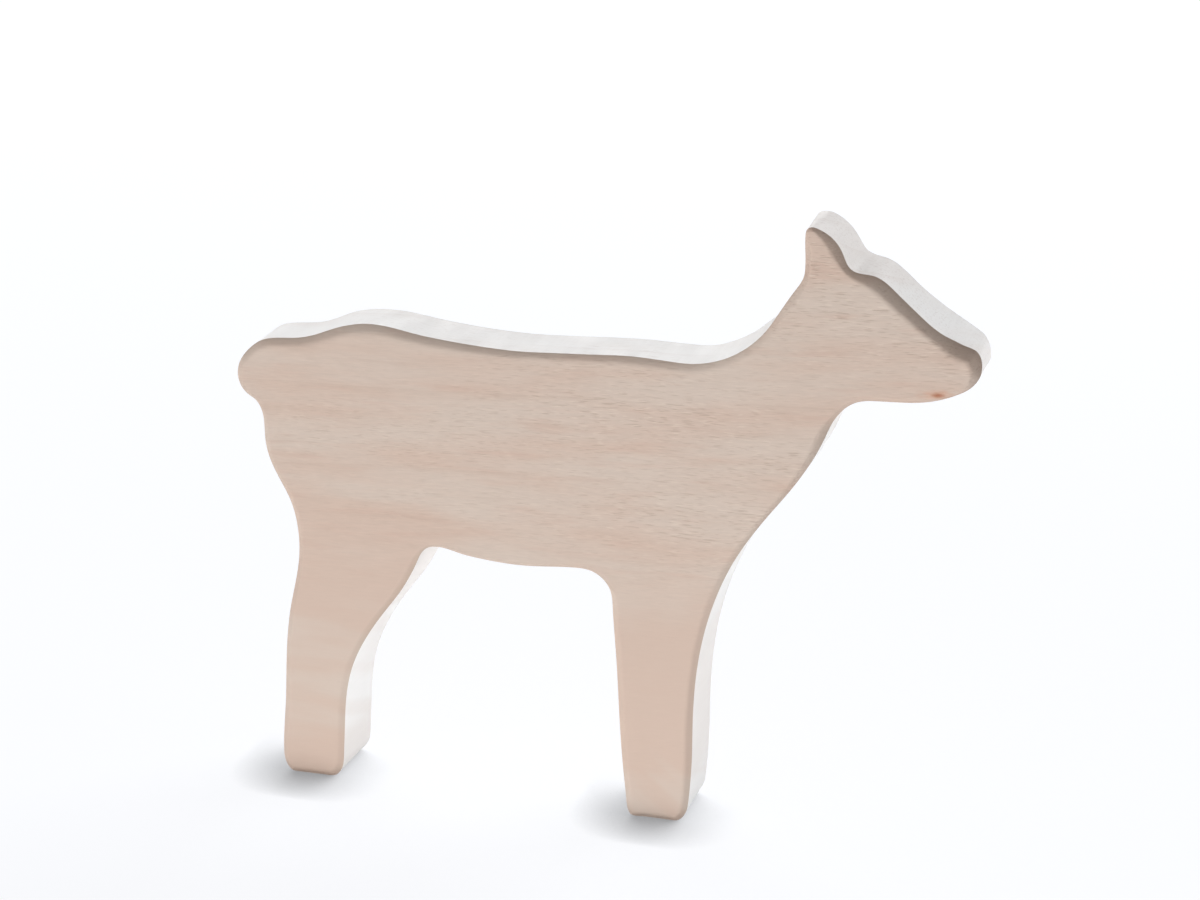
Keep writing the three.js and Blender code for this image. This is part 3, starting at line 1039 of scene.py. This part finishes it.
def add_bump(sheet, shader, height, distance):
    """Feeds a height to the shader's normal."""
    bump = sheet.add("ShaderNodeBump")
    bump.inputs["Strength"].default_value = 1.0
    bump.inputs["Distance"].default_value = distance
    sheet.feed(bump.inputs["Height"], height)
    sheet.feed(shader.inputs["Normal"], bump.outputs[0])


# The stage

def show_background(sheet, lit, seen, output_kind):
    """Shows one shader to the rays of the camera, mirrors and glass, and the lit one to all others."""
    path = sheet.add("ShaderNodeLightPath").outputs
    total = sheet.plus(path["Is Camera Ray"], path["Is Glossy Ray"])
    mixed = sheet.add("ShaderNodeMixShader")
    sheet.feed(mixed.inputs[0], sheet.math("ADD", total, path["Is Transmission Ray"], clamp=True))
    sheet.feed(mixed.inputs[1], lit.outputs[0])
    sheet.feed(mixed.inputs[2], seen.outputs[0])
    output = sheet.add(output_kind)
    sheet.feed(output.inputs["Surface"], mixed.outputs[0])


def coloured_shader(sheet, kind, colour):
    """A shader of one colour."""
    shader = sheet.add(kind)
    shader.inputs["Color"].default_value = (*colour, 1.0)
    return shader


def floor_material(stage):
    """A pale floor that shows nearly white and keeps the figure's shadow."""
    material = bpy.data.materials.new("pale_floor")
    sheet = cleared_sheet(material)
    lit = coloured_shader(sheet, "ShaderNodeBsdfDiffuse", stage.floor_colour)
    open_above = sheet.add("ShaderNodeAmbientOcclusion", samples=16)
    open_above.inputs["Distance"].default_value = stage.contact_reach
    sheet.feed(open_above.inputs["Normal"], sheet.combined(**dict(zip("XYZ", stage.contact_side))))
    contact = sheet.math("POWER", open_above.outputs["AO"], stage.contact_depth)
    glow = coloured_shader(sheet, "ShaderNodeEmission", stage.floor_tint)
    sheet.feed(glow.inputs["Strength"], sheet.times(contact, stage.floor_glow))
    faint = [stage.shadow_share * value for value in stage.floor_colour]
    lit_seen = coloured_shader(sheet, "ShaderNodeBsdfDiffuse", faint)
    seen = sheet.add("ShaderNodeAddShader")
    sheet.feed(seen.inputs[0], lit_seen.outputs[0])
    sheet.feed(seen.inputs[1], glow.outputs[0])
    show_background(sheet, lit, seen, "ShaderNodeOutputMaterial")
    return material


def add_floor(stage):
    """The floor, level with the soles."""
    half = stage.floor_size / 2
    mesh = bpy.data.meshes.new("studio_floor")
    corners = [(-half, -half, 0.0), (half, -half, 0.0), (half, half, 0.0), (-half, half, 0.0)]
    mesh.from_pydata(corners, [], [(0, 1, 2, 3)])
    mesh.materials.append(floor_material(stage))
    floor = bpy.data.objects.new("studio_floor", mesh)
    floor.location.z = CAD_LOW.z
    bpy.context.scene.collection.objects.link(floor)


def add_world(stage):
    """A dim sky that shows white to the camera."""
    world = bpy.data.worlds.new("studio_world")
    bpy.context.scene.world = world
    sheet = cleared_sheet(world)
    dim = coloured_shader(sheet, "ShaderNodeBackground", stage.sky_colour)
    dim.inputs["Strength"].default_value = stage.sky_level
    white = coloured_shader(sheet, "ShaderNodeBackground", (1.0, 1.0, 1.0))
    show_background(sheet, dim, white, "ShaderNodeOutputWorld")


def add_area_lamp(name, place, aim, size, level):
    """A rectangular lamp of this brightness that the camera doesn't see, turned towards a point."""
    lamp = bpy.data.lights.new(name, "AREA")
    lamp.shape = "RECTANGLE"
    lamp.size, lamp.size_y = size
    lamp.energy = math.pi * lamp.size * lamp.size_y * level
    lamp_object = bpy.data.objects.new(name, lamp)
    lamp_object.location = place
    lamp_object.rotation_euler = (Vector(aim) - Vector(place)).to_track_quat("-Z", "Y").to_euler()
    lamp_object.visible_camera = False
    bpy.context.scene.collection.objects.link(lamp_object)


def add_panels(stage, name, turns, rises, level):
    """A row of panels round the figure, which fill the angles between these turns and rises."""
    start, end = turns
    low, high = rises
    foot = Vector(((CAD_LOW.x + CAD_HIGH.x) / 2, (CAD_LOW.y + CAD_HIGH.y) / 2, CAD_LOW.z))
    count = max(1, round((end - start) / stage.panel_turn))
    half_turn = (end - start) / count / 2
    rise = (low + high) / 2
    out = stage.panel_distance * math.cos(rise)
    up = stage.panel_distance * math.sin(rise)
    width = 2 * out * math.tan(half_turn)
    height = 2 * stage.panel_distance * math.tan((high - low) / 2)
    for index in range(count):
        turn = start + (2 * index + 1) * half_turn
        place = foot + Vector((out * math.sin(turn), out * math.cos(turn), up))
        add_area_lamp(f"{name}_{index + 1}", place, foot, (width, height), level)


def add_lamps(stage):
    """Soft panels round the figure, and two bounce lamps on the floor, in front of it and behind it."""
    add_panels(stage, "side_panel", stage.side_turns, stage.side_rises, stage.side_level)
    add_panels(stage, "left_panel", stage.left_turns, stage.low_rises, stage.left_level)
    add_panels(stage, "back_panel", stage.back_turns, stage.low_rises, stage.back_level)
    add_panels(stage, "right_panel", stage.right_turns, stage.low_rises, stage.right_level)
    add_panels(stage, "key_panel", stage.key_turns, stage.key_rises, stage.key_level)
    add_panels(stage, "high_panel", stage.high_turns, stage.high_rises, stage.high_level)
    above_floor = 0.5 * MM
    bounce_size = (stage.bounce_width, stage.bounce_depth)
    away = stage.bounce_gap + stage.bounce_depth / 2
    for name, across, level in (
        ("bounce_lamp", CAD_LOW.y - away, stage.bounce_level),
        ("return_lamp", CAD_HIGH.y + away, stage.return_level),
    ):
        place = Vector(((CAD_LOW.x + CAD_HIGH.x) / 2, across, CAD_LOW.z + above_floor))
        add_area_lamp(name, place, place + Vector((0, 0, 1)), bounce_size, level)


def add_camera(stage):
    """The camera at the photograph's viewing angle."""
    camera = bpy.data.cameras.new("photo_camera")
    camera.sensor_width = SENSOR_WIDTH_MM
    camera.lens = stage.camera_lens
    camera.clip_start = 10.0 * MM
    camera_object = bpy.data.objects.new("photo_camera", camera)
    camera_object.location = stage.camera_place
    camera_object.rotation_euler = (math.pi / 2 - stage.camera_elevation, 0.0, stage.camera_azimuth)
    bpy.context.scene.collection.objects.link(camera_object)
    bpy.context.scene.camera = camera_object


# Operators, panel and registration

class DEER_OT_board(bpy.types.Operator):
    """Build the sawn board with its sanded edge and wood finish."""

    bl_idname = "deer.board"
    bl_label = "Sawn Board"

    def execute(self, context):
        """Builds the board's mesh and materials, and says what it stands for."""
        scene = context.scene
        mesh = board_mesh(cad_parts[BOARD_NODE], scene.deer_sizes)
        groups = wood_groups()
        mesh.materials.append(sanded_face_material(groups, scene.deer_finish))
        mesh.materials.append(sawn_edge_material(groups, scene.deer_finish))
        board = bpy.data.objects.new("sawn_deer", mesh)
        scene.collection.objects.link(board)
        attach(board, BOARD_BODY)
        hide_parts(BOARD_NODE)
        return {"FINISHED"}


class DEER_OT_stage(bpy.types.Operator):
    """Set the floor, the lamps and the camera."""

    bl_idname = "deer.stage"
    bl_label = "Studio Stage"

    def execute(self, context):
        """Builds all that stands round the figure."""
        stage = context.scene.deer_stage
        add_floor(stage)
        add_world(stage)
        add_lamps(stage)
        add_camera(stage)
        context.scene.view_settings.view_transform = "Standard"
        return {"FINISHED"}


class DEER_PT_panel(bpy.types.Panel):
    """Lists the steps of the figure and their settings."""

    bl_idname = "DEER_PT_panel"
    bl_label = "Deer Figurine"
    bl_space_type = "VIEW_3D"
    bl_region_type = "UI"
    bl_category = "Deer"

    def draw(self, context):
        """Draws each step's button above its settings."""
        scene = context.scene
        for operator, settings in (
            (DEER_OT_board, (scene.deer_sizes, scene.deer_finish)),
            (DEER_OT_stage, (scene.deer_stage,)),
        ):
            self.layout.operator(operator.bl_idname)
            for group in settings:
                for name in group.__annotations__:
                    self.layout.prop(group, name)


CLASSES = (DeerBoardSizes, DeerWoodFinish, DeerStage, DEER_OT_board, DEER_OT_stage, DEER_PT_panel)


def register():
    """Adds the classes, and the settings of each scene."""
    for item in CLASSES:
        bpy.utils.register_class(item)
    bpy.types.Scene.deer_sizes = PointerProperty(type=DeerBoardSizes)
    bpy.types.Scene.deer_finish = PointerProperty(type=DeerWoodFinish)
    bpy.types.Scene.deer_stage = PointerProperty(type=DeerStage)


def unregister():
    """Removes the settings, then the classes."""
    del bpy.types.Scene.deer_stage
    del bpy.types.Scene.deer_finish
    del bpy.types.Scene.deer_sizes
    for item in reversed(CLASSES):
        bpy.utils.unregister_class(item)


def main():
    """Builds the figure and its stage."""
    register()
    bpy.ops.deer.board()
    bpy.ops.deer.stage()


if __name__ == "__main__":
    main()
